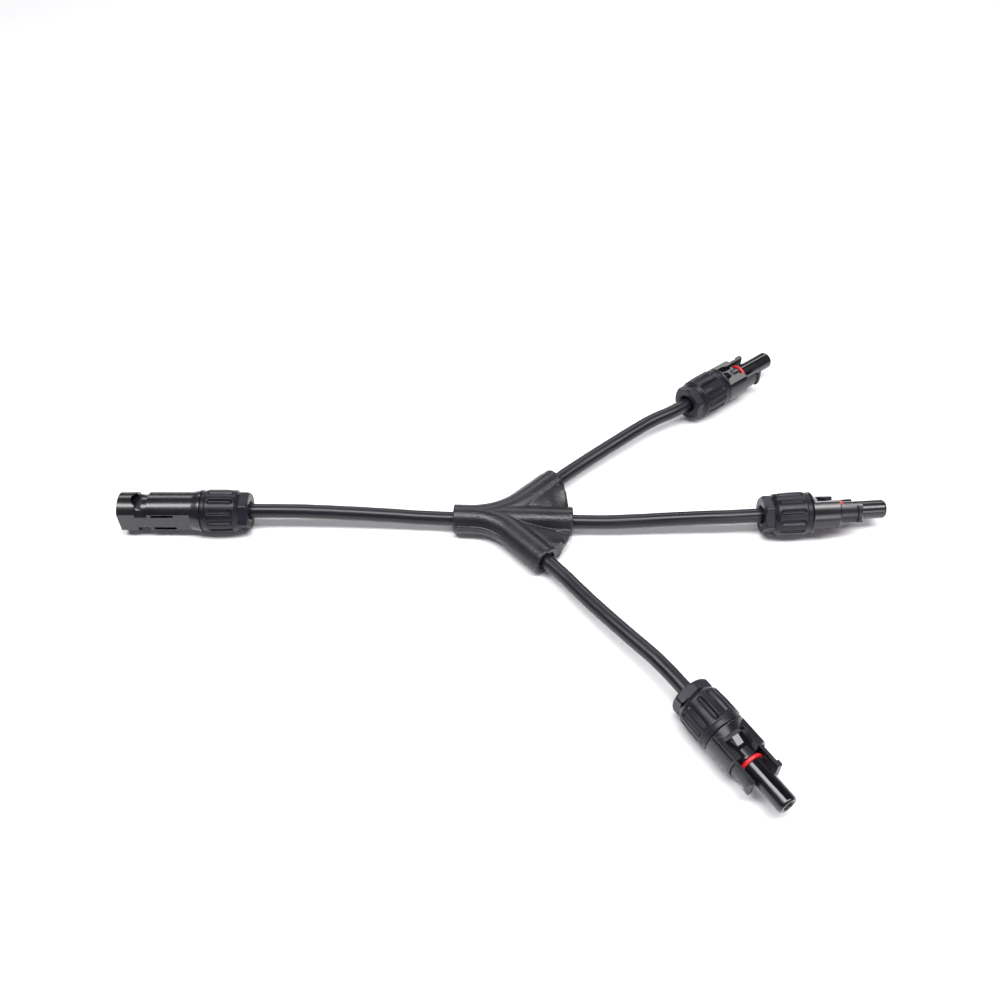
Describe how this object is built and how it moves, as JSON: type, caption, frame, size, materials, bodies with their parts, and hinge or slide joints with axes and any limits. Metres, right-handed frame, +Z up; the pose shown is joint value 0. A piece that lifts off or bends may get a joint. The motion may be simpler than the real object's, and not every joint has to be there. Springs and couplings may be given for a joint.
{
  "type": "solar cable connector",
  "caption": "Branch lead for solar strings: a shell connector on a trunk cable, a moulded three-way branch and plug connectors with latch fingers and screw glands.",
  "frame": {"origin": "on the surface the lead lies on, under the middle of its outline", "axes": "+X from the shell connector to the plug connectors, along the middle cable; +Y to the upper plug; +Z up"},
  "size_m": [0.3395, 0.2477, 0.0192],
  "materials": {
    "branch": "satin black moulded elastomer with a fine grain",
    "cable": "satin black cross-linked insulation",
    "housing": "black glass-filled polymer, satin to gloss",
    "latch": "black polymer, satin to gloss",
    "nut": "charcoal black polymer, matte with a fine texture",
    "cage": "dark grey polymer",
    "seal": "dark grey silicone",
    "o_ring": "bright red silicone, slightly glossy",
    "tinned": "tin-plated copper",
    "copper": "tinned stranded copper",
    "band": "plated spring copper alloy"
  },
  "bodies": {
    "root": {"branch_moulding": "branch", "splice_block": "tinned", "conductor_trunk": "copper", "conductor_upper": "copper", "conductor_middle": "copper", "conductor_lower": "copper", "cable_trunk": "cable", "cable_upper": "cable", "cable_middle": "cable", "cable_lower": "cable", "shell_housing": "housing", "pin_contact": "tinned", "plug_housing_upper": "housing", "plug_housing_middle": "housing", "plug_housing_lower": "housing", "socket_contact_upper": "tinned", "socket_contact_middle": "tinned", "socket_contact_lower": "tinned", "contact_band_upper": "band", "contact_band_middle": "band", "contact_band_lower": "band", "o_ring_upper": "o_ring", "o_ring_middle": "o_ring", "o_ring_lower": "o_ring", "cable_seal_trunk": "seal", "cable_seal_upper": "seal", "cable_seal_middle": "seal", "cable_seal_lower": "seal"},
    "cage_trunk": {"clamp_cage_trunk": "cage"},
    "nut_trunk": {"gland_nut_trunk": "nut"},
    "cage_upper": {"clamp_cage_upper": "cage"},
    "nut_upper": {"gland_nut_upper": "nut"},
    "cage_middle": {"clamp_cage_middle": "cage"},
    "nut_middle": {"gland_nut_middle": "nut"},
    "cage_lower": {"clamp_cage_lower": "cage"},
    "nut_lower": {"gland_nut_lower": "nut"},
    "finger_left_upper": {"latch_left_upper": "latch"},
    "finger_right_upper": {"latch_right_upper": "latch"},
    "finger_left_middle": {"latch_left_middle": "latch"},
    "finger_right_middle": {"latch_right_middle": "latch"},
    "finger_left_lower": {"latch_left_lower": "latch"},
    "finger_right_lower": {"latch_right_lower": "latch"}
  },
  "joints": [
    {"name": "cage_slide_trunk", "type": "slide", "parent": "root", "child": "cage_trunk", "axis": [1, 0, 0], "range_m": [0, 0.01]},
    {"name": "nut_turn_trunk", "type": "hinge", "parent": "cage_trunk", "child": "nut_trunk", "pos_m": [-0.1222, 0.0186, 0.0096], "axis": [1, 0, 0], "range_deg": [0, 1800]},
    {"name": "cage_slide_upper", "type": "slide", "parent": "root", "child": "cage_upper", "axis": [-0.8, -0.6, 0], "range_m": [0, 0.01]},
    {"name": "nut_turn_upper", "type": "hinge", "parent": "cage_upper", "child": "nut_upper", "pos_m": [0.098, 0.094, 0.0096], "axis": [-0.8, -0.6, 0], "range_deg": [0, 1800]},
    {"name": "cage_slide_middle", "type": "slide", "parent": "root", "child": "cage_middle", "axis": [-0.9976, -0.0698, 0], "range_m": [0, 0.01]},
    {"name": "nut_turn_middle", "type": "hinge", "parent": "cage_middle", "child": "nut_middle", "pos_m": [0.12448, 0.0167, 0.0096], "axis": [-0.9976, -0.0698, 0], "range_deg": [0, 1800]},
    {"name": "cage_slide_lower", "type": "slide", "parent": "root", "child": "cage_lower", "axis": [-0.5446, 0.8387, 0], "range_m": [0, 0.01]},
    {"name": "nut_turn_lower", "type": "hinge", "parent": "cage_lower", "child": "nut_lower", "pos_m": [0.07695, -0.08339, 0.0096], "axis": [-0.5446, 0.8387, 0], "range_deg": [0, 1800]},
    {"name": "latch_flex_left_upper", "type": "hinge", "parent": "root", "child": "finger_left_upper", "pos_m": [0.11142, 0.11244, 0.0096], "axis": [0, 0, -1], "range_deg": [0, 5], "stiffness_Nm_per_rad": 0.3},
    {"name": "latch_flex_right_upper", "type": "hinge", "parent": "root", "child": "finger_right_upper", "pos_m": [0.11946, 0.10172, 0.0096], "axis": [0, 0, 1], "range_deg": [0, 5], "stiffness_Nm_per_rad": 0.3},
    {"name": "latch_flex_left_middle", "type": "hinge", "parent": "root", "child": "finger_left_middle", "pos_m": [0.14585, 0.02348, 0.00547], "axis": [0.0429, -0.6142, -0.788], "range_deg": [0, 5], "stiffness_Nm_per_rad": 0.3},
    {"name": "latch_flex_right_middle", "type": "hinge", "parent": "root", "child": "finger_right_middle", "pos_m": [0.14659, 0.01295, 0.01372], "axis": [-0.0429, 0.6142, 0.788], "range_deg": [0, 5], "stiffness_Nm_per_rad": 0.3},
    {"name": "latch_flex_left_lower", "type": "hinge", "parent": "root", "child": "finger_left_lower", "pos_m": [0.09444, -0.09802, 0.0096], "axis": [0, 0, -1], "range_deg": [0, 5], "stiffness_Nm_per_rad": 0.3},
    {"name": "latch_flex_right_lower", "type": "hinge", "parent": "root", "child": "finger_right_lower", "pos_m": [0.0832, -0.10532, 0.0096], "axis": [0, 0, 1], "range_deg": [0, 5], "stiffness_Nm_per_rad": 0.3}
  ],
  "couplings": [
    {"joint": "cage_slide_trunk", "follows": "nut_turn_trunk", "m_per_rad": 0.00031831},
    {"joint": "cage_slide_upper", "follows": "nut_turn_upper", "m_per_rad": 0.00031831},
    {"joint": "cage_slide_middle", "follows": "nut_turn_middle", "m_per_rad": 0.00031831},
    {"joint": "cage_slide_lower", "follows": "nut_turn_lower", "m_per_rad": 0.00031831}
  ]
}
